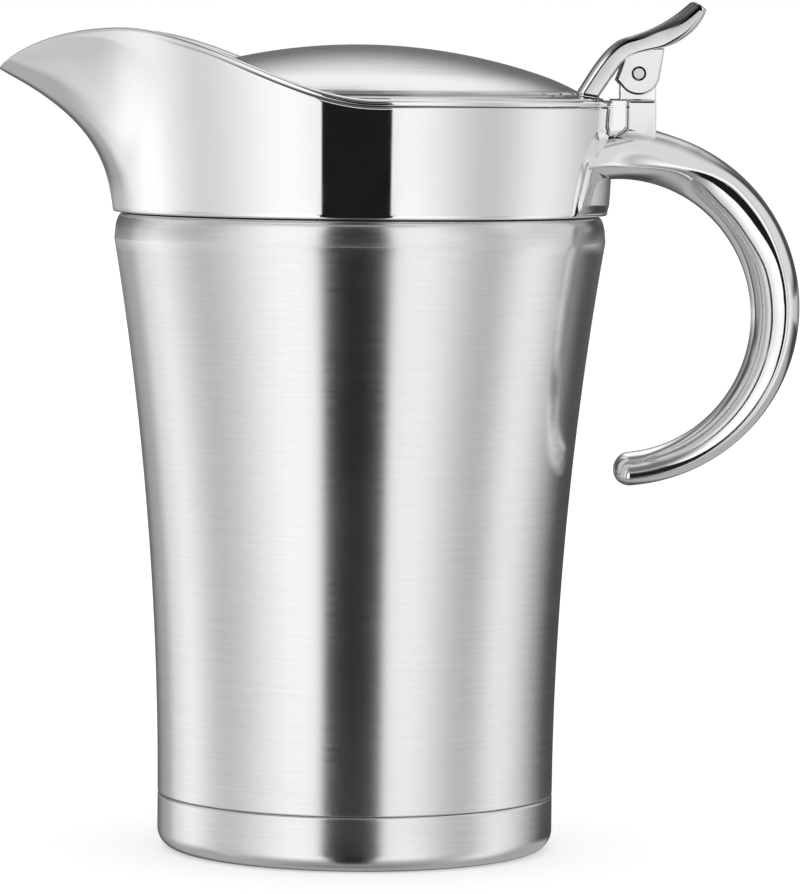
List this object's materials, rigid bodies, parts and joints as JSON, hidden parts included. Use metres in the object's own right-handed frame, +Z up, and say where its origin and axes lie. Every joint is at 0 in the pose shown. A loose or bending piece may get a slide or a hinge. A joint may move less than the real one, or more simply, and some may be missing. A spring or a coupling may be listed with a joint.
{
  "type": "insulated gravy boat",
  "caption": "Tapered double-walled steel jug with a flared pouring collar, an open C-shaped handle and a hinged dome lid raised by a thumb lever, for keeping gravy or sauce warm.",
  "frame": {"origin": "middle of the flat resting face under the base cup", "axes": "+Z up, -X towards the spout, +X towards the handle, +Y across the jug"},
  "size_m": [0.1713, 0.1078, 0.1813],
  "materials": {
    "satin_steel": "fine brushing round the jug",
    "inner_steel": "drawn and electropolished",
    "lid_steel": "satin dome with a polished flange",
    "collar_chrome": "mirror",
    "handle_chrome": "mirror",
    "lever_chrome": "mirror",
    "screw_steel": "turned",
    "ring_plastic": "matte black",
    "seal_silicone": "soft grey silicone",
    "seal_bead": "brazed bead",
    "getter": "pressed powder"
  },
  "bodies": {
    "jug": {"outer_shell": "satin_steel", "inner_flask": "inner_steel", "outer_bottom": "inner_steel", "vacuum_plug": "seal_bead", "getter_pill": "getter", "base_cup": "satin_steel", "spout_collar": "collar_chrome", "throat_ring": "ring_plastic", "neck_gasket": "seal_silicone", "handle": "handle_chrome", "handle_screws": "screw_steel", "hinge_bracket": "handle_chrome", "bracket_screw": "screw_steel", "hinge_pin": "screw_steel"},
    "lid": {"lid_dome": "lid_steel", "lid_liner": "ring_plastic", "lid_gasket": "seal_silicone", "thumb_lever": "lever_chrome", "lever_screws": "screw_steel"}
  },
  "joints": [
    {"name": "lid_hinge", "type": "hinge", "parent": "jug", "child": "lid", "pos_m": [0.05875, 0, 0.166], "axis": [0, 1, 0], "range_deg": [0, 85]}
  ]
}
